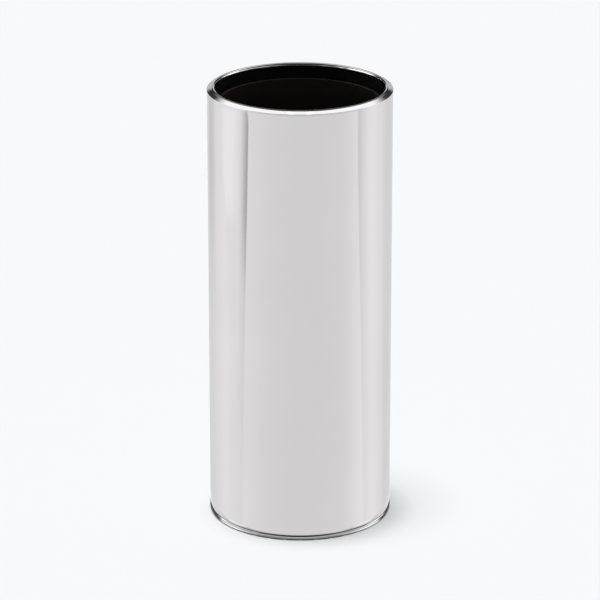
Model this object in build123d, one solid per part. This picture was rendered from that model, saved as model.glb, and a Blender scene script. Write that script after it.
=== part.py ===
from build123d import *
import os
from math import cos, radians, sin, sqrt, tan

# Round umbrella stand: a mirror-polished steel tube between a rolled rim ring and a beaded base
# ring, ballasted by a cast-iron disc, with a loose black bucket that lifts straight out.
# Millimetres, +Z up, origin at the centre of the footprint, seam of the tube at +Y.

# Driving dimensions
HEIGHT = 500.0            # floor to the crest of the rim
SHELL_R = 102.5           # outside of the polished tube
SHELL_WALL = 0.8
RIM_WIDTH = 9.0           # radial width of the rim ring
RIM_DROP = 4.2            # crest of the rim down to the top edge of the tube
FOOT_TREAD = 1.5          # rubber under the base ring
BEAD_HEIGHT = 5.0
BALLAST_R = 88.0
BALLAST_T = 8.0
LINER_DEPTH_BELOW_RIM = 16.5

# Clearances
PRESS_GAP = 0.05          # pressed round faces
LOOSE_GAP = 0.2           # sleeves and rubber
SHANK_GAP = 0.3           # bolts in drilled holes

# Tube and its lining
SHELL_IN_R = SHELL_R - SHELL_WALL
SHELL_TOP_Z = HEIGHT - RIM_DROP
SEAM_WIDTH = 0.6
SEAM_DEPTH = 0.15
SPIGOT_T = 1.25
SPIGOT_OUT_R = SHELL_IN_R - PRESS_GAP
SPIGOT_IN_R = SPIGOT_OUT_R - SPIGOT_T
LINING_T = 1.0
LINING_OUT_R = SPIGOT_IN_R - LOOSE_GAP

# Rim ring
RIM_OUT_R = SHELL_R + 0.3
RIM_IN_R = RIM_OUT_R - RIM_WIDTH
RIM_LEAD_IN = 20.0                # degrees by which the mouth opens upward
RIM_ROLL_R = 1.8                  # rounding from the mouth to the crest
RIM_CROWN_R = 6.7                 # rounding from the crest outward
RIM_CREST_LEAN = 4.0              # degrees the surface falls outward where those two meet
RIM_SLOPE = 31.0                  # degrees the outside of the crown falls
RIM_EDGE_R = 0.45                 # rounding at the outer edge
RIM_LEAD_Z = HEIGHT - 2.4         # where the mouth starts to open
RIM_UNDER_Z = HEIGHT - 4.0
RIM_SPIGOT_Z = RIM_UNDER_Z - 7.7

# Base ring, from the rubber upward
BASE_Z = FOOT_TREAD
BEAD_TOP_Z = BASE_Z + BEAD_HEIGHT
BEAD_R = SHELL_R + 0.4            # widest radius of the bead
NECK_R = SHELL_R - 0.4            # shadow groove between bead and tube
NECK_H = 0.8
SHELL_BASE_Z = BEAD_TOP_Z + NECK_H
BASE_SPIGOT_Z = BASE_Z + 16.5
LEDGE_Z = BASE_Z + 6.5
LEDGE_T = 1.2
LEDGE_IN_R = 89.0
CHANNEL_LIP_T = 1.2
CHANNEL_W = 4.0                   # groove that grips the rubber

# Base plate and rivets
PLATE_Z = LEDGE_Z + LEDGE_T
PLATE_T = 1.5
PLATE_TOP_Z = PLATE_Z + PLATE_T
RIVET_COUNT = 6
RIVET_PCD_R = 92.0
RIVET_R = 1.6
RIVET_HEAD_R = 3.25
RIVET_HEAD_H = 0.9
RIVET_TAIL_R = 2.6
RIVET_TAIL_H = 1.8
RIVET_HOLE_R = RIVET_R + PRESS_GAP

# Ballast and its M6 fasteners
BALLAST_TOP_Z = PLATE_TOP_Z + BALLAST_T
BOSS_R = 66.0
BOSS_TOP_Z = BALLAST_TOP_Z + 3.0
BOLT_COUNT = 3
BOLT_PCD_R = 45.0
BOLT_R = 3.0
BOLT_LENGTH = 20.0
BOLT_HEAD_R = 6.0
BOLT_HEAD_SINK = 0.1
HEX_KEY = 4.0
HEX_KEY_DEPTH = 2.2
BOLT_HOLE_R = BOLT_R + SHANK_GAP
WASHER_R = 6.0
WASHER_T = 1.6
NUT_ACROSS_FLATS = 10.0
NUT_H = 5.0

# Rubber foot
FOOT_IN_R = 94.0
FOOT_OUT_R = SHELL_R - 0.9
FOOT_RIB_TOP_Z = LEDGE_Z - LOOSE_GAP

# Lift-out bucket
LINER_TOP_Z = HEIGHT - LINER_DEPTH_BELOW_RIM
LINER_WALL = 2.0
LINER_TOP_R = RIM_IN_R - 3.6      # outside of the wall under the lip
LINER_BASE_R = LINER_TOP_R - 4.7
LIP_R = RIM_IN_R - 1.2
LIP_T = 1.4
LIP_DROP = 7.0
SKIRT_IN_R = BOSS_R + 2.0
SKIRT_T = 3.0
LINER_UNDER_Z = BOSS_TOP_Z + 1.0
FLOOR_T = 2.5
FLOOR_Z = LINER_UNDER_Z + FLOOR_T
RIB_COUNT = 12
RIB_W = 2.0
RIB_H = 1.5
RIB_IN_R = 18.0
RIB_OUT_R = 74.0


def outline_face(*outline):
    """Face in the XZ half-plane from (radius, height) corners; a third value rounds the corner."""
    face = make_face(Polyline(*[point[:2] for point in outline], close=True))
    for point in outline:
        if len(point) == 3:
            corner = face.vertices().sort_by_distance((point[0], point[1], 0))[0]
            face = fillet(corner, point[2])
    return face


def turned(face):
    """Solid of revolution of an XZ face about the Z axis."""
    return revolve(Plane.XZ * face, Axis.Z)


def tube(outer_r, inner_r, low_z, high_z):
    """Plain ring or sleeve."""
    return turned(outline_face((inner_r, low_z), (outer_r, low_z), (outer_r, high_z), (inner_r, high_z)))


def leaning(centre, radius, first, last):
    """First, middle and last points of an arc in the XZ half-plane, from the angles in degrees by which
    its outward side leans from +Z away from the axis."""
    leans = [radians(first), radians((first + last) / 2), radians(last)]
    return [(centre[0] + radius * sin(lean), centre[1] + radius * cos(lean)) for lean in leans]


def around(count, radius, first_angle=90.0):
    """Evenly spaced places on a circle about Z."""
    return [Location((radius * cos(radians(a)), radius * sin(radians(a)), 0), (0, 0, a))
            for a in [first_angle + 360.0 / count * i for i in range(count)]]


def upright(radius, low_z, high_z):
    """Cylinder on the local Z axis between two heights."""
    return Pos(0, 0, low_z) * Cylinder(radius, high_z - low_z, align=(Align.CENTER, Align.CENTER, Align.MIN))


def outer_shell():
    body = tube(SHELL_R, SHELL_IN_R, SHELL_BASE_Z, SHELL_TOP_Z)
    half = SEAM_WIDTH / 2
    groove = make_face(Polyline((-half, SHELL_R + half), (half, SHELL_R + half), (0, SHELL_R - SEAM_DEPTH),
                                close=True))
    cutter = extrude(groove, HEIGHT)
    return body - cutter


def rim_ring():
    slope = radians(RIM_SLOPE)
    roll_z = HEIGHT - RIM_ROLL_R
    mouth_top_z = roll_z + RIM_ROLL_R * sin(radians(RIM_LEAD_IN))
    mouth_top_r = RIM_IN_R + (mouth_top_z - RIM_LEAD_Z) * tan(radians(RIM_LEAD_IN))
    roll_r = mouth_top_r + RIM_ROLL_R * cos(radians(RIM_LEAD_IN))
    roll = leaning((roll_r, roll_z), RIM_ROLL_R, RIM_LEAD_IN - 90, RIM_CREST_LEAN)
    crown_centre = leaning(roll[-1], -RIM_CROWN_R, RIM_CREST_LEAN, RIM_CREST_LEAN)[0]
    crown = leaning(crown_centre, RIM_CROWN_R, RIM_CREST_LEAN, RIM_SLOPE)
    edge_r = RIM_OUT_R - RIM_EDGE_R
    fall = (edge_r + RIM_EDGE_R * sin(slope) - crown[-1][0]) * tan(slope)
    edge_z = crown[-1][1] - fall - RIM_EDGE_R * cos(slope)
    edge = leaning((edge_r, edge_z), RIM_EDGE_R, RIM_SLOPE, 90)
    under = Polyline(edge[-1], (RIM_OUT_R, SHELL_TOP_Z), (SPIGOT_OUT_R, SHELL_TOP_Z),
                     (SPIGOT_OUT_R, RIM_SPIGOT_Z), (SPIGOT_IN_R, RIM_SPIGOT_Z), (SPIGOT_IN_R, RIM_UNDER_Z),
                     (RIM_IN_R, RIM_UNDER_Z), (RIM_IN_R, RIM_LEAD_Z), roll[0])
    curves = [ThreePointArc(*points) for points in (roll, crown, edge)] + [Line(crown[-1], edge[0]), under]
    return turned(make_face([arc for curve in curves for arc in curve.edges()]))


def shell_lining():
    return tube(LINING_OUT_R, LINING_OUT_R - LINING_T, PLATE_TOP_Z, RIM_UNDER_Z - LOOSE_GAP)


def base_ring():
    bead_foot = (SHELL_R - 0.6, BASE_Z)
    bead_top = (NECK_R, BEAD_TOP_Z)
    bead = ThreePointArc(bead_foot, (BEAD_R, BASE_Z + BEAD_HEIGHT / 2), bead_top)
    channel_r = SPIGOT_IN_R - CHANNEL_W
    lip_r = channel_r - CHANNEL_LIP_T
    lip_z = BASE_Z + 1.0
    rest = Polyline(bead_top, (NECK_R, SHELL_BASE_Z), (SPIGOT_OUT_R, SHELL_BASE_Z), (SPIGOT_OUT_R, BASE_SPIGOT_Z),
                    (SPIGOT_IN_R, BASE_SPIGOT_Z), (SPIGOT_IN_R, PLATE_Z), (LEDGE_IN_R, PLATE_Z),
                    (LEDGE_IN_R, LEDGE_Z), (lip_r, LEDGE_Z), (lip_r, lip_z), (channel_r, lip_z),
                    (channel_r, LEDGE_Z), (SPIGOT_IN_R, LEDGE_Z), (SPIGOT_IN_R, BASE_Z), bead_foot)
    body = turned(make_face(bead.edges() + rest.edges()))
    for place in around(RIVET_COUNT, RIVET_PCD_R):
        body -= place * upright(RIVET_HOLE_R, BASE_Z, PLATE_TOP_Z)
    return body


def base_plate():
    body = upright(SPIGOT_IN_R - LOOSE_GAP, PLATE_Z, PLATE_TOP_Z)
    for place in around(RIVET_COUNT, RIVET_PCD_R):
        body -= place * upright(RIVET_HOLE_R, 0, HEIGHT)
    for place in around(BOLT_COUNT, BOLT_PCD_R):
        body -= place * upright(BOLT_HOLE_R, 0, HEIGHT)
    return body


def base_rivets():
    tail_z = LEDGE_Z - RIVET_TAIL_H
    profile = outline_face((0, tail_z), (RIVET_TAIL_R, tail_z, 0.8), (RIVET_TAIL_R, LEDGE_Z), (RIVET_R, LEDGE_Z),
                           (RIVET_R, PLATE_TOP_Z), (RIVET_HEAD_R, PLATE_TOP_Z),
                           (RIVET_HEAD_R, PLATE_TOP_Z + RIVET_HEAD_H, 0.6), (0, PLATE_TOP_Z + RIVET_HEAD_H))
    rivet = turned(profile)
    return Compound([place * rivet for place in around(RIVET_COUNT, RIVET_PCD_R)])


def countersink(head_r, shank_r, top_z, low_z):
    """90 degree countersunk head on a straight shank, as one solid of revolution."""
    cone_z = top_z - (head_r - shank_r)
    return turned(outline_face((0, low_z), (shank_r, low_z), (shank_r, cone_z), (head_r, top_z), (0, top_z)))


def ballast_disc():
    body = turned(outline_face((0, PLATE_TOP_Z), (BALLAST_R, PLATE_TOP_Z, 1.0), (BALLAST_R, BALLAST_TOP_Z, 1.5),
                               (BOSS_R, BALLAST_TOP_Z), (BOSS_R, BOSS_TOP_Z, 1.2), (0, BOSS_TOP_Z)))
    hole = countersink(BOLT_HEAD_R + SHANK_GAP, BOLT_HOLE_R, BOSS_TOP_Z, PLATE_Z)
    for place in around(BOLT_COUNT, BOLT_PCD_R):
        body -= place * hole
    return body


def ballast_bolts():
    top_z = BOSS_TOP_Z - BOLT_HEAD_SINK
    bolt = countersink(BOLT_HEAD_R, BOLT_R, top_z, top_z - BOLT_LENGTH)
    key = extrude(RegularPolygon(HEX_KEY / sqrt(3), 6), HEX_KEY_DEPTH)
    bolt -= Pos(0, 0, top_z - HEX_KEY_DEPTH) * key
    return Compound([place * bolt for place in around(BOLT_COUNT, BOLT_PCD_R)])


def ballast_washers():
    washer = tube(WASHER_R, BOLT_HOLE_R, PLATE_Z - WASHER_T, PLATE_Z)
    return Compound([place * washer for place in around(BOLT_COUNT, BOLT_PCD_R)])


def ballast_nuts():
    top_z = PLATE_Z - WASHER_T
    hexagon = extrude(RegularPolygon(NUT_ACROSS_FLATS / sqrt(3), 6), NUT_H)
    nut = Pos(0, 0, top_z - NUT_H) * hexagon
    corner_r = NUT_ACROSS_FLATS / sqrt(3)
    chamfer_h = 0.5
    blank = turned(outline_face((0, top_z - NUT_H), (corner_r - 0.8, top_z - NUT_H),
                                (corner_r, top_z - NUT_H + chamfer_h), (corner_r, top_z), (0, top_z)))
    nut = (nut & blank) - upright(BOLT_R + PRESS_GAP, 0, HEIGHT)
    return Compound([place * nut for place in around(BOLT_COUNT, BOLT_PCD_R)])


def foot_ring():
    rib_out_r = SPIGOT_IN_R - PRESS_GAP * 2
    rib_in_r = SPIGOT_IN_R - CHANNEL_W + PRESS_GAP * 2
    return turned(outline_face((FOOT_IN_R, 0, 0.5), (FOOT_OUT_R, 0, 0.5), (FOOT_OUT_R, BASE_Z), (rib_out_r, BASE_Z),
                               (rib_out_r, FOOT_RIB_TOP_Z), (rib_in_r, FOOT_RIB_TOP_Z), (rib_in_r, BASE_Z),
                               (FOOT_IN_R, BASE_Z, 0.5)))


def liner_bucket():
    lip_under_z = LINER_TOP_Z - LINER_WALL
    body = turned(outline_face(
        (0, LINER_UNDER_Z), (SKIRT_IN_R, LINER_UNDER_Z), (SKIRT_IN_R, BALLAST_TOP_Z),
        (SKIRT_IN_R + SKIRT_T, BALLAST_TOP_Z), (SKIRT_IN_R + SKIRT_T, LINER_UNDER_Z),
        (LINER_BASE_R, LINER_UNDER_Z, 7.0), (LINER_TOP_R, lip_under_z), (LIP_R - LIP_T, lip_under_z),
        (LIP_R - LIP_T, LINER_TOP_Z - LIP_DROP), (LIP_R, LINER_TOP_Z - LIP_DROP), (LIP_R, LINER_TOP_Z, 1.6),
        (LINER_TOP_R - LINER_WALL, LINER_TOP_Z, 1.0), (LINER_BASE_R - LINER_WALL, FLOOR_Z, 5.0), (0, FLOOR_Z)))
    rib_sink = 0.5
    rib = Pos((RIB_IN_R + RIB_OUT_R) / 2, 0, FLOOR_Z - rib_sink) * Box(
        RIB_OUT_R - RIB_IN_R, RIB_W, RIB_H + rib_sink, align=(Align.CENTER, Align.CENTER, Align.MIN))
    for i in range(RIB_COUNT):
        body += Rot(0, 0, 360.0 / RIB_COUNT * i) * rib
    body += tube(RIB_IN_R + RIB_W, RIB_IN_R, FLOOR_Z - rib_sink, FLOOR_Z + RIB_H)
    return body


PIECES = {
    "outer_shell": outer_shell,
    "rim_ring": rim_ring,
    "shell_lining": shell_lining,
    "base_ring": base_ring,
    "base_plate": base_plate,
    "base_rivets": base_rivets,
    "ballast_disc": ballast_disc,
    "ballast_bolts": ballast_bolts,
    "ballast_washers": ballast_washers,
    "ballast_nuts": ballast_nuts,
    "foot_ring": foot_ring,
    "liner_bucket": liner_bucket,
}

os.makedirs("parts", exist_ok=True)
for name, make in PIECES.items():
    export_step(make(), f"parts/{name}.step")
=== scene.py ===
"""Looks of the round umbrella stand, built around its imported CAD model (metres, +Z up, front at -Y)."""
import math

import bmesh
import bpy
import numpy as np
from mathutils import Matrix, Vector


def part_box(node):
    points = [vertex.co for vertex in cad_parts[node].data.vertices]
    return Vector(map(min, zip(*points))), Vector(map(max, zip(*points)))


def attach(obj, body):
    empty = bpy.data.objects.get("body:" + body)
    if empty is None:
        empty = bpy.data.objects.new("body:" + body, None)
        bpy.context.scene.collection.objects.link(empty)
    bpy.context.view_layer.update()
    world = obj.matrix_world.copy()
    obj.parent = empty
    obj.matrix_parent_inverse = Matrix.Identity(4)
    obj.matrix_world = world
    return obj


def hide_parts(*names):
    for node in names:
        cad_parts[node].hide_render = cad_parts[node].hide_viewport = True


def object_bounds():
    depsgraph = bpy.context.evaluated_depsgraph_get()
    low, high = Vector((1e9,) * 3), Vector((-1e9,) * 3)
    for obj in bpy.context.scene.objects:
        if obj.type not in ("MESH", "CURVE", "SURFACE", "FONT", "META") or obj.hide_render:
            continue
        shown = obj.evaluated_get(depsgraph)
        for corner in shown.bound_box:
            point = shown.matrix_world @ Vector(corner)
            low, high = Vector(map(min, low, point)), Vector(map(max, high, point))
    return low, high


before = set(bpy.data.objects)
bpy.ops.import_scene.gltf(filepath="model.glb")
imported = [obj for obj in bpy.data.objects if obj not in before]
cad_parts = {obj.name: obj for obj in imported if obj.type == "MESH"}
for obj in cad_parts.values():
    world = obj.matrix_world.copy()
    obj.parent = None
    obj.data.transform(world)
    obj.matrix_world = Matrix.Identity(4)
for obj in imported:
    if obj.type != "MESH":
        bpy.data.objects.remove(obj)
cad_low, cad_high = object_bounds()
MM = 0.001
HEIGHT = cad_high.z
SEGMENTS = 720            # round the tube: enough for a clean mirror


# ---------------------------------------------------------------- mesh helpers
def lathe(name, outline, angles=None, change=None, sharp=30.0):
    """Solid turned about Z from a closed outline of (radius, height) points, going up on the outside.
    An outline that touches the axis closes there. change(r, z, angle) may move the points."""
    if angles is None:
        angles = np.arange(SEGMENTS) * (2 * math.pi / SEGMENTS)
    line = np.array(supported(outline), float)
    turns, count = len(angles), len(line)
    angle = np.repeat(np.asarray(angles)[:, None], count, axis=1)
    r = np.repeat(line[None, :, 0], turns, axis=0)
    z = np.repeat(line[None, :, 1], turns, axis=0)
    if change:
        r, z = change(r, z, angle)
    points = np.stack([r * np.sin(angle), -r * np.cos(angle), z], axis=2).reshape(-1, 3)
    i, j = np.meshgrid(np.arange(turns), np.arange(count), indexing="ij")
    k, m = (i + 1) % turns, (j + 1) % count
    faces = np.stack([i * count + j, k * count + j, k * count + m, i * count + m], axis=2).reshape(-1, 4)
    mesh = bpy.data.meshes.new(name)
    mesh.from_pydata(points.tolist(), [], faces.tolist())
    if line[:, 0].min() < 1e-9:
        close_poles(mesh)
    mesh.polygons.foreach_set("use_smooth", [True] * len(mesh.polygons))
    mesh.set_sharp_from_angle(angle=math.radians(sharp))
    piece = bpy.data.objects.new(name, mesh)
    bpy.context.scene.collection.objects.link(piece)
    return piece


def supported(outline, long=2.0 * MM, near=0.25 * MM):
    """The outline with a point just inside each end of its long stretches, to keep them flat in a mirror."""
    points = []
    for start, end in zip(outline, outline[1:] + outline[:1]):
        points.append(start)
        length = math.dist(start, end)
        if length > long and max(start[0], end[0]) > 0:
            points += [tuple(a + (b - a) * share for a, b in zip(start, end))
                       for share in (near / length, 1 - near / length)]
    return points


def close_poles(mesh):
    """Merges the points on the axis, where a turned outline touches it."""
    work = bmesh.new()
    work.from_mesh(mesh)
    bmesh.ops.remove_doubles(work, verts=[v for v in work.verts if v.co.xy.length < 1e-7], dist=1e-7)
    flat = [f for f in work.faces if f.calc_area() < 1e-14]
    bmesh.ops.delete(work, geom=flat, context="FACES_ONLY")
    work.to_mesh(mesh)
    work.free()


def arc(centre, radius, start, end, steps):
    """Points of an arc in the (radius, height) plane, angles in degrees from the outward direction."""
    angles = [math.radians(start + (end - start) * i / steps) for i in range(steps + 1)]
    return [(centre[0] + radius * math.cos(a), centre[1] + radius * math.sin(a)) for a in angles]


def line(start, end, steps):
    """Evenly spaced points from start up to, and without, end."""
    return [(start[0] + (end[0] - start[0]) * i / steps, start[1] + (end[1] - start[1]) * i / steps)
            for i in range(steps)]


def in_metres(outline):
    return [(r * MM, z * MM) for r, z in outline]


# ---------------------------------------------------------------- materials
class Nodes:
    """Short ways to build a node tree."""

    def __init__(self, tree):
        self.tree = tree

    def node(self, kind, inputs=(), **settings):
        made = self.tree.nodes.new(kind)
        for key, value in settings.items():
            setattr(made, key, value)
        for socket, value in dict(inputs).items():
            if isinstance(value, bpy.types.NodeSocket):
                self.tree.links.new(value, made.inputs[socket])
            else:
                made.inputs[socket].default_value = value
        return made

    def maths(self, operation, a, b=0.0):
        return self.node("ShaderNodeMath", {0: a, 1: b}, operation=operation).outputs["Value"]

    def between(self, value, low, high, from_low=0.3, from_high=0.7, **settings):
        """A pattern between two values spread over low to high."""
        return self.node("ShaderNodeMapRange", {
            "Value": value, "From Min": from_low, "From Max": from_high, "To Min": low,
            "To Max": high}, **settings).outputs["Result"]

    def ramp_up(self, value, start, end):
        return self.between(value, 0.0, 1.0, start, end, interpolation_type="SMOOTHSTEP")

    def band(self, value, low, high, soft):
        """1 between low and high, fading to 0 over soft on either side."""
        rise = self.ramp_up(value, low - soft / 2, low + soft / 2)
        fall = self.ramp_up(value, high + soft / 2, high - soft / 2)
        return self.maths("MULTIPLY", rise, fall)

    def colours(self, value, *stops):
        ramp = self.node("ShaderNodeValToRGB", {"Fac": value})
        elements = ramp.color_ramp.elements
        while len(elements) < len(stops):
            elements.new(0.5)
        for element, (position, colour) in zip(elements, stops):
            element.position = position
            element.color = (*colour, 1)
        return ramp.outputs["Color"]

    def blended(self, factor, first, second):
        """A number between two."""
        mix = self.node("ShaderNodeMix", {"Factor": factor, "A": first, "B": second}, data_type="FLOAT")
        return mix.outputs["Result"]

    def mixed(self, factor, first, second):
        """A colour between two, either of them a pattern's output or plain."""
        mix = self.node("ShaderNodeMix", {0: factor, 6: first, 7: second}, data_type="RGBA")
        return mix.outputs[2]

    def tinted(self, value, colour):
        """A number times a colour."""
        product = self.node("ShaderNodeVectorMath", {0: value, 1: colour}, operation="MULTIPLY")
        return product.outputs["Vector"]

    def geometry(self, output):
        return self.node("ShaderNodeNewGeometry").outputs[output]

    def height(self, vector):
        return self.node("ShaderNodeSeparateXYZ", {"Vector": vector}).outputs["Z"]

    def bearing(self, vector):
        """Degrees round the axis from the front, signed, with the left side positive."""
        split = self.node("ShaderNodeSeparateXYZ", {"Vector": vector}).outputs
        turn = self.maths("ARCTAN2", self.maths("MULTIPLY", split["X"], -1.0),
                          self.maths("MULTIPLY", split["Y"], -1.0))
        return self.maths("DEGREES", turn)

    def surface(self, shader):
        """Makes a shader the material's surface."""
        self.tree.links.new(shader.outputs[0], self.tree.nodes["Material Output"].inputs["Surface"])


class Finish(Nodes):
    """A material being built round its main shader."""

    def __init__(self, name, **sockets):
        self.material = bpy.data.materials.new(name)
        self.material.use_nodes = True
        super().__init__(self.material.node_tree)
        self.shader = self.tree.nodes["Principled BSDF"]
        for socket, value in sockets.items():
            self.shader.inputs[socket.replace("_", " ")].default_value = value
        self.place = self.node("ShaderNodeTexCoord").outputs["Object"]

    def scaled(self, x, y, z):
        return self.node("ShaderNodeMapping", {"Vector": self.place, "Scale": (x, y, z)}).outputs["Vector"]

    def noise(self, scale, detail=3.0, rough=0.5, where=None, distortion=0.0):
        return self.node("ShaderNodeTexNoise", {
            "Vector": where or self.place, "Scale": scale, "Detail": detail, "Roughness": rough,
            "Distortion": distortion}).outputs["Fac"]

    def bump(self, height, distance, strength=1.0, under=None):
        inputs = {"Height": height, "Distance": distance, "Strength": strength}
        if under:
            inputs["Normal"] = under
        return self.node("ShaderNodeBump", inputs).outputs["Normal"]

    def set(self, **sockets):
        for socket, output in sockets.items():
            self.tree.links.new(output, self.shader.inputs[socket.replace("_", " ")])
        return self.material


def polished_steel():
    """Mirror-polished stainless steel: faint polishing lines up the tube, soft smudges, slow waviness."""
    f = Finish("polished_steel", Metallic=1.0)
    lines = f.noise(1.0, 4.0, 0.6, f.scaled(900, 900, 6))
    smudge = f.noise(9.0, 4.0, 0.55)
    wave = f.noise(1.0, 1.0, 0.4, f.scaled(22, 22, 3))
    tint = f.colours(smudge, (0.3, (0.652, 0.632, 0.628)), (0.7, (0.676, 0.656, 0.651)))
    roughness = f.maths("ADD", f.between(smudge, 0.028, 0.05), f.between(lines, 0.0, 0.012))
    normal = f.bump(wave, 0.00002, 1.0, f.bump(lines, 0.0000004))
    return f.set(Base_Color=tint, Roughness=roughness, Normal=normal)


def polished_ring():
    """The same steel on the two turned rings, buffed round the ring."""
    f = Finish("polished_ring", Metallic=1.0)
    lines = f.noise(1.0, 4.0, 0.6, f.scaled(30, 30, 2500))
    smudge = f.noise(14.0, 3.0, 0.5)
    tint = f.colours(smudge, (0.3, (0.70, 0.69, 0.69)), (0.7, (0.73, 0.72, 0.72)))
    roughness = f.maths("ADD", f.between(smudge, 0.02, 0.045), f.between(lines, 0.0, 0.012))
    return f.set(Base_Color=tint, Roughness=roughness, Normal=f.bump(lines, 0.0000005))


def black_bucket():
    """Black polypropylene with a fine moulded grain, scuffed a little where umbrellas rub it."""
    f = Finish("black_bucket", IOR=1.49, Specular_IOR_Level=0.25)
    grain = f.noise(1400.0, 2.0, 0.6)
    flow = f.noise(14.0, 4.0, 0.6)
    scuffs = f.noise(1.0, 5.0, 0.7, f.scaled(260, 260, 9), distortion=0.4)
    worn = f.between(scuffs, 0.0, 1.0, 0.62, 0.78)
    clean = f.colours(flow, (0.3, (0.045, 0.030, 0.027)), (0.7, (0.060, 0.041, 0.036)))
    tint = f.mixed(f.maths("MULTIPLY", worn, 0.35), clean, (0.070, 0.062, 0.058, 1))
    roughness = f.maths("ADD", f.between(flow, 0.40, 0.5), f.maths("MULTIPLY", worn, 0.12))
    normal = f.bump(grain, 0.00004, 0.5, f.bump(scuffs, 0.00003, 0.3))
    return f.set(Base_Color=tint, Roughness=roughness, Normal=normal)


def black_lining():
    """Matt black lining: an even fibrous surface."""
    f = Finish("black_lining", Specular_IOR_Level=0.3)
    fibre = f.noise(1.0, 6.0, 0.7, f.scaled(500, 500, 160), distortion=0.6)
    tint = f.colours(fibre, (0.3, (0.010, 0.009, 0.0085)), (0.7, (0.018, 0.016, 0.015)))
    return f.set(Base_Color=tint, Roughness=f.between(fibre, 0.72, 0.9), Normal=f.bump(fibre, 0.00008, 0.6))


def foot_rubber():
    f = Finish("foot_rubber", Specular_IOR_Level=0.35)
    grain = f.noise(900.0, 3.0, 0.6)
    dust = f.noise(35.0, 4.0, 0.6)
    tint = f.colours(dust, (0.35, (0.012, 0.012, 0.012)), (0.75, (0.035, 0.034, 0.032)))
    return f.set(Base_Color=tint, Roughness=f.between(dust, 0.55, 0.8), Normal=f.bump(grain, 0.00006, 0.5))


def cast_iron():
    """Sand-cast disc under a thin black paint, on a CAD mesh: its faces are shaded flat."""
    f = Finish("cast_iron", Specular_IOR_Level=0.4)
    sand = f.noise(650.0, 5.0, 0.7)
    lumps = f.noise(60.0, 3.0, 0.5)
    tint = f.colours(lumps, (0.3, (0.018, 0.018, 0.019)), (0.7, (0.035, 0.034, 0.033)))
    normal = f.bump(sand, 0.0002, 0.7, f.bump(lumps, 0.0006, 0.5, f.geometry("True Normal")))
    return f.set(Base_Color=tint, Roughness=f.between(sand, 0.42, 0.7), Normal=normal)


def zinc(name, crystal_scale, base, flat=True):
    """Bright zinc plating with its faint crystal pattern and rubbed streaks. CAD meshes are shaded flat."""
    f = Finish(name, Metallic=1.0)
    crystals = f.node("ShaderNodeTexVoronoi", {"Vector": f.place, "Scale": crystal_scale}, feature="F1")
    spangle = f.node("ShaderNodeSeparateColor", {"Color": crystals.outputs["Color"]}).outputs["Red"]
    streaks = f.noise(1.0, 5.0, 0.65, f.scaled(160, 12, 160))
    tint = f.colours(spangle, (0.0, [c * 0.9 for c in base]), (1.0, base))
    roughness = f.maths("ADD", f.between(spangle, 0.24, 0.34, 0, 1), f.between(streaks, 0.0, 0.1))
    normal = f.bump(streaks, 0.00001, 0.6, f.geometry("True Normal") if flat else None)
    return f.set(Base_Color=tint, Roughness=roughness, Normal=normal)


def rivet_aluminium():
    f = Finish("rivet_aluminium", Metallic=1.0)
    drawn = f.noise(1.0, 4.0, 0.6, f.scaled(700, 700, 60))
    tint = f.colours(drawn, (0.3, (0.66, 0.66, 0.67)), (0.7, (0.76, 0.76, 0.77)))
    normal = f.bump(drawn, 0.00002, 0.5)
    return f.set(Base_Color=tint, Roughness=f.between(drawn, 0.28, 0.42), Normal=normal)


steel, ring_steel = polished_steel(), polished_ring()
bucket_black, lining_black = black_bucket(), black_lining()
rubber, iron = foot_rubber(), cast_iron()
zinc_sheet = zinc("zinc_plate", 90.0, (0.62, 0.64, 0.66))
zinc_small = zinc("zinc_fastener", 400.0, (0.66, 0.67, 0.69))
zinc_bolt = zinc("zinc_bolt", 400.0, (0.66, 0.67, 0.69), flat=False)
aluminium = rivet_aluminium()


def finished(piece, material, slot, body, *nodes):
    """Gives a new piece its material and its body, and hides the CAD nodes that it stands for."""
    piece.data.materials.clear()
    piece.data.materials.append(material)
    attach(piece, body)
    if nodes:
        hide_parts(*nodes)
    return piece


# ---------------------------------------------------------------- tube
def shell_piece():
    """Rolled tube with its filed butt seam at the back."""
    low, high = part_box("outer_shell")
    outer, wall, ease = 102.5 * MM, 0.8 * MM, 0.15 * MM
    seam_half, seam_depth = 0.3 * MM, 0.15 * MM
    outline = arc((outer - ease, low.z + ease), ease, -90, 0, 4)
    outline += arc((outer - ease, high.z - ease), ease, 0, 90, 4)
    outline += [(outer - wall, high.z), (outer - wall, low.z)]
    step = 2 * math.pi / SEGMENTS
    seam_angles = [math.pi + side * seam_half / outer * share
                   for side in (-1, 1) for share in (0.35, 0.7, 1, 1.3)]
    angles = sorted([i * step for i in range(SEGMENTS)] + seam_angles)

    def seam(r, z, angle):
        off = np.abs(angle - math.pi) * outer / seam_half
        depth = seam_depth * np.clip(1 - off, 0, 1)
        return np.where(r > outer - wall / 2, r - depth, r), z

    return lathe("tube_shell", outline, angles, seam)


finished(shell_piece(), steel, "polished_steel", "stand", "outer_shell")


# ---------------------------------------------------------------- the two polished rings
def leaning(centre, radius, first, last, steps):
    """Points of an arc, from the degrees by which its outside leans from +Z away from the axis."""
    return arc(centre, radius, 90 - first, 90 - last, steps)


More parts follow.
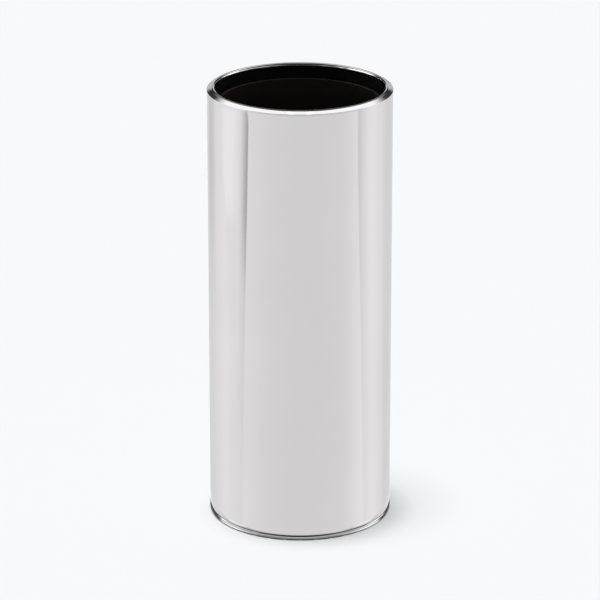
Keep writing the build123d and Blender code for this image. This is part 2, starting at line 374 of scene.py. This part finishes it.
def rim_piece():
    """Ring pressed into the tube's mouth: lead-in, small roll, rounded crest and a sloping outside."""
    low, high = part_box("rim_ring")
    top, foot = high.z / MM, low.z / MM
    out_r, in_r, spigot_out, spigot_in = 102.8, 93.8, 101.65, 100.4
    lead_in, roll, crown_r, crest_lean, slope, edge = 20.0, 1.8, 6.7, 4.0, 31.0, 0.45
    lead_z, under, shell_top = top - 2.4, top - 4.0, top - 4.2
    steep, narrow = math.radians(slope), math.radians(lead_in)
    mouth_top = top - roll + roll * math.sin(narrow)
    roll_r = in_r + (mouth_top - lead_z) * math.tan(narrow) + roll * math.cos(narrow)
    mouth = leaning((roll_r, top - roll), roll, lead_in - 90, crest_lean, 30)
    crown_centre = leaning(mouth[-1], -crown_r, crest_lean, crest_lean, 1)[0]
    crown = leaning(crown_centre, crown_r, crest_lean, slope, 24)
    edge_r = out_r - edge
    fall = (edge_r + edge * math.sin(steep) - crown[-1][0]) * math.tan(steep)
    corner = leaning((edge_r, crown[-1][1] - fall - edge * math.cos(steep)), edge, slope, 90, 12)
    skirt = [(out_r, shell_top), (spigot_out, shell_top), (spigot_out, foot), (spigot_in, foot),
             (spigot_in, under), (in_r, under), (in_r, lead_z)]
    outline = mouth[:-1] + crown[:-1] + line(crown[-1], corner[0], 4) + corner + skirt
    return lathe("rim", in_metres(outline[::-1]), sharp=40.0)


finished(rim_piece(), ring_steel, "polished_ring", "stand", "rim_ring")


def base_piece():
    """Foot ring with its bead, the shadow groove above it and the channel that grips the rubber."""
    low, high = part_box("base_ring")
    foot, top = low.z / MM, high.z / MM
    bead_h, neck_r, groove_h, chamfer = 5.0, 102.1, 0.8, 0.3
    foot_r, bead_r, web_out, web_in = 101.9, 102.9, 101.65, 100.4
    channel_in, channel_out, channel_z = 95.2, 96.4, foot + 1.0
    ledge_r, ledge_z, ledge_top = 89.0, foot + 6.5, foot + 7.7
    chord_r = (foot_r + neck_r) / 2
    sag = bead_r - chord_r
    radius = (bead_h * bead_h / 4 + sag * sag) / (2 * sag)
    half = math.degrees(math.asin(bead_h / 2 / radius))
    centre = (bead_r - radius, foot + bead_h / 2)
    outline = arc(centre, radius, -half, half, 24)
    outline = [(r + (neck_r - foot_r) * ((z - foot) / bead_h - 0.5), z) for r, z in outline]
    outline += [(neck_r, foot + bead_h + groove_h), (web_out, foot + bead_h + groove_h),
                (web_out, top - chamfer), (web_out - chamfer, top), (web_in + chamfer, top),
                (web_in, top - chamfer), (web_in, ledge_top), (ledge_r, ledge_top), (ledge_r, ledge_z),
                (channel_in, ledge_z), (channel_in, channel_z), (channel_out, channel_z),
                (channel_out, ledge_z), (web_in, ledge_z), (web_in, foot)]
    return lathe("foot_bead", in_metres(outline))


finished(base_piece(), ring_steel, "polished_ring", "stand", "base_ring")


# ---------------------------------------------------------------- inside of the tube
def lining_piece():
    """Black sleeve between the tube and the bucket, with its butt joint at the back."""
    low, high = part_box("shell_lining")
    outer, inner, ease = 100.2 * MM, 99.2 * MM, 0.3 * MM
    joint_half, joint_depth = 0.9 * MM, 0.45 * MM
    outline = arc((outer - ease, low.z + ease), ease, -90, 0, 4)
    outline += arc((outer - ease, high.z - ease), ease, 0, 90, 4)
    outline += arc((inner + ease, high.z - ease), ease, 90, 180, 4)
    outline += arc((inner + ease, low.z + ease), ease, 180, 270, 4)

    def joint(r, z, angle):
        gap = np.clip(1 - np.abs(angle - math.pi) * outer / joint_half, 0, 1)
        return np.where(r < inner + ease / 2, r + gap * joint_depth, r), z

    return lathe("lining", outline, change=joint)


finished(lining_piece(), lining_black, "black_lining", "stand", "shell_lining")


def smooth_step(value):
    clipped = np.clip(value, 0, 1)
    return clipped * clipped * (3 - 2 * clipped)


def bucket_piece():
    """Moulded bucket: drafted wall, rolled lip with its grip edge, ribbed floor and standing skirt."""
    low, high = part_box("liner_bucket")
    foot, top = low.z / MM, high.z / MM
    under, floor = foot + 4.0, foot + 6.5
    wall, lip_r, lip_t, lip_drop = 2.0, 92.6, 1.4, 7.0
    top_r, base_r = 90.2, 85.5
    lip_under = top - wall
    lean = math.degrees(math.atan((top_r - base_r) / (lip_under - under)))
    heel, inner_heel, lip_round, mouth_round, chamfer = 7.0, 5.0, 1.6, 1.0, 0.3
    recess_in, recess_out, recess_h = 3.0, 12.4, 0.5          # moulded round the gate, under the floor
    skirt_in, skirt_out, ease = 68.0, 71.0, 0.4
    slope, stretch = math.tan(math.radians(lean)), 1 / math.cos(math.radians(lean))
    outline = [(0, under), (recess_in, under), (recess_in + ease, under + recess_h),
               (recess_out - ease, under + recess_h), (recess_out, under), (skirt_in, under),
               (skirt_in, foot + ease), (skirt_in + ease, foot), (skirt_out - ease, foot),
               (skirt_out, foot + ease), (skirt_out, under)]
    outline += arc((base_r + heel * (slope - stretch), under + heel), heel, -90, -lean, 12)
    outline += [(top_r, lip_under), (lip_r - lip_t, lip_under), (lip_r - lip_t, top - lip_drop),
                (lip_r - chamfer, top - lip_drop), (lip_r, top - lip_drop + chamfer)]
    outline += arc((lip_r - lip_round, top - lip_round), lip_round, 0, 90, 10)
    outline += arc((top_r - wall + mouth_round + 0.01, top - mouth_round), mouth_round, 90, 180 - lean, 8)
    inner_r = base_r - wall
    outline += [(inner_r + (top_r - base_r) * share, floor + (top - floor) * share)
                for share in (0.8, 0.6, 0.4, 0.2)]
    inner_centre = (inner_r + inner_heel * (slope - stretch), floor + inner_heel)
    outline += arc(inner_centre, inner_heel, -lean, -90, 10)
    floor_r, ring_step, rings = 74.5, 0.75, 99                # rings of points, which the ribs lift
    outline += [(floor_r - ring_step * i, floor) for i in range(rings)] + [(0, floor)]
    ribs, rib_half, rib_height, draft = 12, 1.0, 1.5, 0.9
    hub_r, rib_start, rib_end, gate_r, gate_h = 19, 18, 74, 3.0, 0.35

    def floor_ribs(r, z, angle):
        radius = r / MM
        on_floor = (np.abs(z / MM - floor) < 1e-4) & (radius < floor_r + 1.5)
        turn = (angle / (2 * math.pi) * ribs + 0.5) % 1 - 0.5
        across = np.abs(np.sin(turn * 2 * math.pi / ribs)) * radius
        bar = smooth_step((rib_half + draft / 2 - across) / draft)
        bar *= smooth_step((radius - rib_start + draft) / draft) * smooth_step((rib_end - radius) / draft)
        hoop = smooth_step((rib_half + draft - np.abs(radius - hub_r)) / draft)
        gate = gate_h * smooth_step(gate_r - radius)
        rise = np.maximum(rib_height * np.maximum(bar, hoop), gate)
        return r, np.where(on_floor, z + rise * MM, z)

    return lathe("bucket", in_metres(outline), change=floor_ribs, sharp=35.0)


finished(bucket_piece(), bucket_black, "black_bucket", "bucket", "liner_bucket")


# ---------------------------------------------------------------- underneath
def foot_piece():
    """Rubber ring: a rib pressed into the base ring's channel and a tread with drain notches."""
    low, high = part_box("foot_ring")
    foot, top = low.z / MM, high.z / MM
    in_r, out_r, rib_in, rib_out, tread = 94.0, 101.6, 96.5, 100.3, 1.5
    ease, middle, chamfer = 0.5, 0.15, 0.4                    # eased edges and their middles, the rib's edge
    outline = [(in_r, foot + ease), (in_r + middle, foot + middle), (in_r + ease, foot)]
    outline += line((in_r + 1.2, foot), (out_r - ease, foot), 8)
    outline += [(out_r - ease, foot), (out_r - middle, foot + middle), (out_r, foot + ease),
                (out_r, foot + tread), (rib_out, foot + tread), (rib_out, top - chamfer),
                (rib_out - chamfer, top), (rib_in + chamfer, top), (rib_in, top - chamfer),
                (rib_in, foot + tread), (in_r + ease, foot + tread), (in_r, foot + tread - ease)]
    notches, notch_share, notch_depth, flank = 36, 0.2, 0.5, 0.12

    def tread_notches(r, z, angle):
        turn = np.abs((angle / (2 * math.pi) * notches) % 1 - 0.5) * 2
        notch = smooth_step((turn - 1 + notch_share + flank / 2) / flank)
        return r, np.where(z / MM < foot + 0.4, z + notch * notch_depth * MM, z)

    return lathe("foot", in_metres(outline), change=tread_notches, sharp=40.0)


finished(foot_piece(), rubber, "foot_rubber", "stand", "foot_ring")


def set_round(piece, radius, count):
    """Repeats a small turned piece at equal places round the axis, the first at +Y, in one mesh."""
    work = bmesh.new()
    for i in range(count):
        angle = math.pi / 2 + 2 * math.pi * i / count
        copy = piece.data.copy()
        copy.transform(Matrix.Translation((radius * math.cos(angle), radius * math.sin(angle), 0))
                       @ Matrix.Rotation(angle, 4, "Z"))
        work.from_mesh(copy)
        bpy.data.meshes.remove(copy)
    work.to_mesh(piece.data)
    work.free()
    return piece


def few_angles(count):
    return np.arange(count) * (2 * math.pi / count)


BOLT_CIRCLE, BOLTS = 45 * MM, 3
RIVET_CIRCLE, RIVETS = 92 * MM, 6


def bolts_piece():
    """M6 countersunk bolts: hexagon socket and a real 1 mm thread."""
    low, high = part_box("ballast_bolts")
    tip, top = low.z / MM, high.z / MM
    major, minor, middle, pitch = 3.0, 2.45, 2.7, 1.0
    head_r, socket_r, thread_top, lead = 6.0, 2.31, tip + 9.0, 0.3
    steps = 72
    outline = [(0, tip), (minor - 0.2, tip)]
    outline += [(middle, tip + lead + (thread_top - tip - lead) * i / steps) for i in range(steps + 1)]
    outline += [(major, thread_top + lead), (major, top - (head_r - major)), (head_r - 0.1, top - 0.1),
                (head_r - 0.2, top), (socket_r + 0.12, top), (socket_r, top - 0.15), (socket_r, top - 2.2),
                (0, top - 2.5)]

    def thread_and_socket(r, z, angle):
        height = z / MM
        turn = (height / pitch - angle / (2 * math.pi)) % 1
        helix = minor + (major - minor) * (1 - np.abs(2 * turn - 1))
        threaded = (np.abs(r / MM - middle) < 1e-6) & (height < thread_top + 0.1)
        sixth = (angle % (math.pi / 3)) - math.pi / 6
        hexagon = math.cos(math.pi / 6) / np.cos(sixth)
        in_socket = (r / MM < socket_r + 0.2) & (height > top - 2.4)
        return np.where(threaded, helix * MM, np.where(in_socket, r * hexagon, r)), z

    return lathe("bolts", in_metres(outline), few_angles(48), thread_and_socket)


finished(set_round(bolts_piece(), BOLT_CIRCLE, BOLTS), zinc_bolt, "zinc_fastener", "stand",
         "ballast_bolts")


def rivets_piece():
    """3.2 mm blind rivets: domed head with its mandrel stub, and the upset tail under the ledge."""
    low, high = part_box("base_rivets")
    tail, top = low.z / MM, high.z / MM
    ledge, plate = tail + 1.8, top - 0.9
    shank, head_r, tail_r, stub = 1.6, 3.25, 2.6, 0.85
    outline = [(0, tail), (0.7, tail + 0.08), (1.2, tail + 0.35), (1.7, tail + 0.3),
               (tail_r - 0.3, tail + 0.55), (tail_r, tail + 1.0), (tail_r, ledge - 0.25),
               (tail_r - 0.25, ledge), (shank, ledge), (shank, plate), (head_r, plate),
               (head_r, plate + 0.2), (head_r - 0.7, top - 0.25), (head_r - 1.5, top - 0.04),
               (stub + 0.35, top), (stub + 0.1, top - 0.1), (stub + 0.05, top - 0.6),
               (stub - 0.1, top - 0.5), (0.3, top - 0.4), (0, top - 0.42)]
    return lathe("rivets", in_metres(outline), few_angles(40), sharp=50.0)


finished(set_round(rivets_piece(), RIVET_CIRCLE, RIVETS), aluminium, "rivet_aluminium", "stand",
         "base_rivets")

CARRIED_OVER = {"base_plate": zinc_sheet, "ballast_disc": iron, "ballast_washers": zinc_small,
                "ballast_nuts": zinc_small}
for node_name, finish in CARRIED_OVER.items():
    node_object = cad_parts[node_name]
    if not node_object.material_slots:
        node_object.data.materials.append(finish)
    for place in node_object.material_slots:
        place.material = finish


# ---------------------------------------------------------------- studio
FLOOR = (0.939, 0.947, 0.965)
PAINT, GLOW, ROOM = 0.30, 0.498, 0.15      # what the floor reflects, what it gives, the room's soft light
REACH = 20.0                               # half the floor's width


def stage_material(name):
    """Material without a shader yet, and its nodes."""
    material = bpy.data.materials.new(name)
    material.use_nodes = True
    nodes = Nodes(material.node_tree)
    nodes.tree.nodes.remove(nodes.tree.nodes["Principled BSDF"])
    return material, nodes


def glowing(nodes, level):
    """The floor's colour at a level, as light."""
    return nodes.node("ShaderNodeEmission", {"Color": nodes.tinted(level, FLOOR)})


def fading(nodes, level, cover):
    """The same, clear where cover is 0."""
    clear = nodes.node("ShaderNodeBsdfTransparent")
    glow = glowing(nodes, level)
    return nodes.node("ShaderNodeMixShader", {"Fac": cover, 1: clear.outputs[0], 2: glow.outputs[0]})


def staged(name, points, faces, material):
    mesh = bpy.data.meshes.new(name)
    mesh.from_pydata(points, [], faces)
    mesh.materials.append(material)
    piece = bpy.data.objects.new(name, mesh)
    bpy.context.scene.collection.objects.link(piece)
    return piece


def only_reflected(piece):
    """Hides a stage piece from all but reflections."""
    piece.visible_camera = False
    piece.visible_diffuse = False
    piece.visible_shadow = False
    piece.visible_transmission = False
    piece.visible_volume_scatter = False


SQUARE = [(-REACH, -REACH, 0), (REACH, -REACH, 0), (REACH, REACH, 0), (-REACH, REACH, 0)]


def floor_material():
    """Pale sweep that glows a little itself, so that shadows stay as light as on a lit table.
    It is clear from below."""
    material, nodes = stage_material("studio_floor")
    paint = nodes.node("ShaderNodeBsdfDiffuse", {"Color": (*[c * PAINT for c in FLOOR], 1)})
    glow = nodes.node("ShaderNodeEmission", {"Color": (*[c * GLOW for c in FLOOR], 1)})
    both = nodes.node("ShaderNodeAddShader", {0: paint.outputs[0], 1: glow.outputs[0]})
    clear = nodes.node("ShaderNodeBsdfTransparent")
    top_only = nodes.node("ShaderNodeMixShader", {
        "Fac": nodes.geometry("Backfacing"), 1: both.outputs[0], 2: clear.outputs[0]})
    nodes.surface(top_only)
    return material


floor = staged("studio_floor", SQUARE, [(0, 1, 2, 3)], floor_material())
floor.visible_glossy = False


def contact_floor():
    """Glowing disc round the foot, seen only in reflections, standing for the floor as the bead sees it:
    painted shadow in front, painted light beside, painted shade behind.
    """
    radius, steps = 0.1197, 96
    material, nodes = stage_material("contact_floor")
    position = nodes.geometry("Position")
    away = nodes.node("ShaderNodeVectorMath", {0: position}, operation="LENGTH").outputs["Value"]
    turn = nodes.maths("ABSOLUTE", nodes.bearing(position))
    # Painted contact shadow: the glow darkens towards the foot.
    shade = nodes.between(away, 0.30, 1.0, 0.1035, 0.1195)
    # Painted light: brighter patches beside the foot, which the bead shows as highlights on its lower edge.
    lit = nodes.between(nodes.band(turn, 43.0, 60.0, 10.0), 1.0, 1.45, 0.0, 1.0)
    # Painted shade close behind the foot.
    painted_shade_behind = nodes.maths("MULTIPLY", nodes.ramp_up(turn, 60.0, 68.0), nodes.ramp_up(away, 0.110, 0.107))
    lit = nodes.maths("MULTIPLY", lit, nodes.between(painted_shade_behind, 1.0, 0.1, 0.0, 1.0))
    nodes.surface(glowing(nodes, nodes.blended(nodes.ramp_up(turn, 22.0, 46.0), shade, lit)))
    turns = [2 * math.pi * i / steps for i in range(steps)]
    points = [(radius * math.cos(a), radius * math.sin(a), 0) for a in turns]
    return staged("contact_floor", points, [tuple(range(steps))], material)


def foot_screen():
    """Low glowing strip round the foot, seen only in reflections, that dims what the bead reflects beside
    and behind the stand: painted shade in the bead's reflection.
    """
    radius, top, reach, steps = 0.1065, 0.0076, 100, 96
    high_edge, low_edge, softness = 0.0066, 0.0042, 0.0014
    turns = [math.radians(-reach + 2 * reach * i / steps) for i in range(steps + 1)]
    points = [(-radius * math.sin(a), -radius * math.cos(a), z) for a in turns for z in (0, top)]
    faces = [(2 * i, 2 * i + 2, 2 * i + 3, 2 * i + 1) for i in range(steps)]
    material, nodes = stage_material("foot_screen")
    position = nodes.geometry("Position")
    turn = nodes.maths("ABSOLUTE", nodes.bearing(position))
    # Glow levels of the strip by bearing: painted shade in the bead's reflection, darkest behind.
    look = ((0, 0.50), (34, 0.55), (42, 0.72), (48, 0.80), (56, 0.85), (61, 0.60), (66, 0.15), (72, 0.07),
            (90, 0.10))                                       # bearing and brightness
    stops = [(bearing / 90, (brightness,) * 3) for bearing, brightness in look]
    level = nodes.colours(nodes.between(turn, 0.0, 1.0, 0.0, 90.0), *stops)
    edge = nodes.between(turn, high_edge, low_edge, 57.0, 65.0)
    soft_top = nodes.ramp_up(nodes.height(position), edge, nodes.maths("SUBTRACT", edge, softness))
    cover = nodes.maths("MULTIPLY", nodes.ramp_up(turn, 26.0, 38.0), soft_top)
    cover = nodes.maths("MULTIPLY", cover, nodes.ramp_up(turn, 99.0, 90.0))
    nodes.surface(fading(nodes, level, cover))
    return staged("foot_screen", points, faces, material)


def low_panel():
    """Low glowing screen on the floor, left of the stand. Its front end leans back, has a rounded top
    corner and darkens towards its edge. Near the floor it melts into the floor's own reflection."""
    distance, steps = 0.9, 72
    front_top, front_foot, back_top, back_foot, top = 63.0, 68.8, 112.0, 92.0, 0.261
    corner_run, corner_drop, nip, nip_run, fall = 7.0, 0.016, 0.05, 0.12, 0.00035
    points, faces = [], []
    for i in range(steps + 1):
        share = (i / steps) ** 1.6
        bearing = front_top + (back_top - front_top) * share
        run = min((bearing - front_top) / corner_run, 1.0)
        height = top - fall * (bearing - front_top)
        height -= corner_drop * (1 - math.sqrt(1 - (1 - run) ** 2)) + nip * max(0.0, nip_run - run)
        for turn, z in ((front_foot + (back_foot - front_foot) * share, 0), (bearing, height)):
            turn = math.radians(turn)
            points.append((-distance * math.sin(turn), -distance * math.cos(turn), z))
        if i:
            faces.append((2 * i - 2, 2 * i, 2 * i + 1, 2 * i - 1))
    material, nodes = stage_material("low_panel")
    position = nodes.geometry("Position")
    height = nodes.height(position)
    edge = nodes.between(height, front_foot, front_top, 0.0, top)
    inward = nodes.maths("SUBTRACT", nodes.bearing(position), edge)
    dark = nodes.between(nodes.ramp_up(inward, -3.0, 13.0), 0.52, 1.13, 0.0, 1.0)
    above = nodes.ramp_up(height, 0.06, 0.15)
    middle = nodes.maths("MULTIPLY", nodes.band(inward, 17.0, 43.0, 16.0), above)
    bright = nodes.maths("ADD", dark, nodes.maths("MULTIPLY", middle, 0.15))
    nodes.surface(fading(nodes, bright, nodes.ramp_up(height, -0.02, 0.13)))
    return staged("low_panel", points, faces, material)


for screen in (contact_floor, low_panel, foot_screen):
    only_reflected(screen())


def table_glow(nodes, side, rise):
    """How bright the wide table looks in each direction below the horizon: lighter towards the two boxes,
    with the leaning dark front edge of a screen on either side."""
    low, high = -22.5, -16.4
    look = ((-180, 0.72), (-164, 0.84), (-150, 0.91), (-136, 0.975), (-124, 1.11), (-104, 1.22),
            (-84, 1.20), (-71, 1.125), (-56, 1.035), (-20, 1.0), (10, 1.005), (48, 1.06), (75, 1.135),
            (90, 1.13), (110, 1.19), (128, 1.09), (146, 0.96), (164, 0.84), (180, 0.72))
    stops = [((bearing + 180) / 360, (level / 2,) * 3) for bearing, level in look]
    ramp = nodes.colours(nodes.between(side, 0.0, 1.0, -180.0, 180.0), *stops)
    half = nodes.node("ShaderNodeSeparateColor", {"Color": ramp}).outputs["Red"]
    table = nodes.maths("MULTIPLY", half, 2.0)
    other_side = nodes.maths("MULTIPLY", side, -1.0)
    left = nodes.maths("SUBTRACT", side, nodes.between(rise, 80.0, 68.0, low, -17.4))
    right = nodes.maths("SUBTRACT", other_side, nodes.between(rise, 88.5, 76.6, low, -17.2))
    edges = ((left, 0.20, 0.05, 13.0, -19.0), (right, 0.27, 0.08, 18.0, high))
    for inward, deep, shallow, run, from_rise in edges:
        dip = nodes.maths("MULTIPLY", nodes.ramp_up(inward, -0.8, 0.8),
                          nodes.between(inward, 1.0, 0.0, 0.0, run))
        depth = nodes.between(rise, shallow, deep, -21.8, from_rise)
        table = nodes.maths("SUBTRACT", table, nodes.maths("MULTIPLY", dip, depth))
    far = nodes.between(rise, 0.0, 0.13, -19.5, -17.5)
    far_left = nodes.maths("MULTIPLY", nodes.band(side, 134, 156, 10), far)
    return nodes.maths("SUBTRACT", table, far_left)


def studio_world():
    """Soft boxes as patches of the sky: (bearing from, to, edge), (elevation from, to, edge), brightness.
    Bearings count on both sides of the front unless the card is on one side."""
    world = bpy.data.worlds.new("studio")
    world.use_nodes = True
    bpy.context.scene.world = world
    nodes = Nodes(world.node_tree)
    direction = nodes.node("ShaderNodeTexCoord").outputs["Generated"]
    side = nodes.bearing(direction)
    turn = nodes.maths("ABSOLUTE", side)
    rise = nodes.maths("DEGREES", nodes.maths("ARCSINE", nodes.height(direction)))
    cards = (
        (side, (68, 114, 12), (-9, 12, 9), 2.3),        # low box on the left
        (side, (54, 62, 12), (5, 13, 6), 1.8),          # its near end, clear of the floor
        (side, (-112, -78, 14), (-9, 10, 10), 1.3),     # low box on the right
        (side, (-128, -92, 12), (-2, 14, 8), 1.3),
        (side, (112, 123, 8), (-4, 15, 8), 0.45),       # the left one's dim far end
        (turn, (24, 84, 26), (6, 14, 6), 0.42),         # the room on the camera's side
        (side, (-80, -42, 12), (3, 14, 8), 0.40),
        (side, (98, 116, 10), (46, 80, 10), 0.80),      # two boxes high behind, the left one brighter
        (turn, (98, 160, 10), (33, 82, 16), 1.35),
        (turn, (156, 184, 10), (24, 36, 6), 0.22),
        (turn, (157, 200, 12), (68, 82, 10), 1.40),     # strip overhead
        (turn, (-1, 200, 10), (83, 100, 6), 1.65),      # overhead light
        (turn, (162, 176, 6), (-2, 15.5, 4), 0.62),     # low windows behind
        (side, (160, 176, 8), (-10, -3, 5), 0.75),
        (side, (-176, -160, 8), (-10, -3, 5), 0.40),
        (turn, (176, 200, 4), (13, 17, 3), 0.90),
    )
    level = 0.04
    for bearing, across, height, brightness in cards:
        patch = nodes.maths("MULTIPLY", nodes.band(bearing, *across), nodes.band(rise, *height))
        level = nodes.maths("ADD", level, nodes.maths("MULTIPLY", patch, brightness))
    behind = nodes.maths("MULTIPLY", nodes.ramp_up(turn, 163.0, 172.0), nodes.ramp_up(rise, -16.0, -13.5))
    in_front = nodes.between(behind, 1.0, 0.1, 0.0, 1.0)
    table = nodes.maths("MULTIPLY", table_glow(nodes, side, rise), in_front)
    level = nodes.blended(nodes.ramp_up(rise, -9.0, -13.0), level, table)
    reflected = nodes.node("ShaderNodeLightPath").outputs["Is Glossy Ray"]
    colour = nodes.tinted(nodes.blended(reflected, ROOM, level), FLOOR)
    nodes.tree.links.new(colour, nodes.tree.nodes["Background"].inputs["Color"])


studio_world()


lit_floor = bpy.data.collections.new("lit_floor")
lit_floor.objects.link(floor)


def lamp(name, direction, energy, angle):
    """Soft light from far away that only lights the floor, and isn't seen in reflections."""
    light = bpy.data.lights.new(name, "SUN")
    light.energy = energy
    light.angle = math.radians(angle)
    light_object = bpy.data.objects.new(name, light)
    light_object.rotation_euler = Vector(direction).to_track_quat("Z", "Y").to_euler()
    light_object.visible_glossy = False
    light_object.light_linking.receiver_collection = lit_floor
    bpy.context.scene.collection.objects.link(light_object)


lamp("overhead", (-0.02, 0.012, 1), 3.55, 6)
lamp("from_the_left", (-0.11, -0.02, 1), 1.3, 9)


def look_from(distance, pitch, target, lens):
    """Camera straight in front, looking down by pitch degrees at the target height."""
    camera = bpy.data.cameras.new("camera")
    camera.lens = lens
    camera.sensor_width = 36.0
    camera.clip_end = 100.0
    camera_object = bpy.data.objects.new("camera", camera)
    tilt = math.radians(pitch)
    camera_object.location = (0, -distance * math.cos(tilt), target + distance * math.sin(tilt))
    camera_object.rotation_euler = (math.pi / 2 - tilt, 0, 0)
    bpy.context.scene.collection.objects.link(camera_object)
    bpy.context.scene.camera = camera_object


look_from(3.968, 19.395, HEIGHT / 2 + 0.00005, 211.8)
bpy.context.scene.view_settings.view_transform = "Standard"
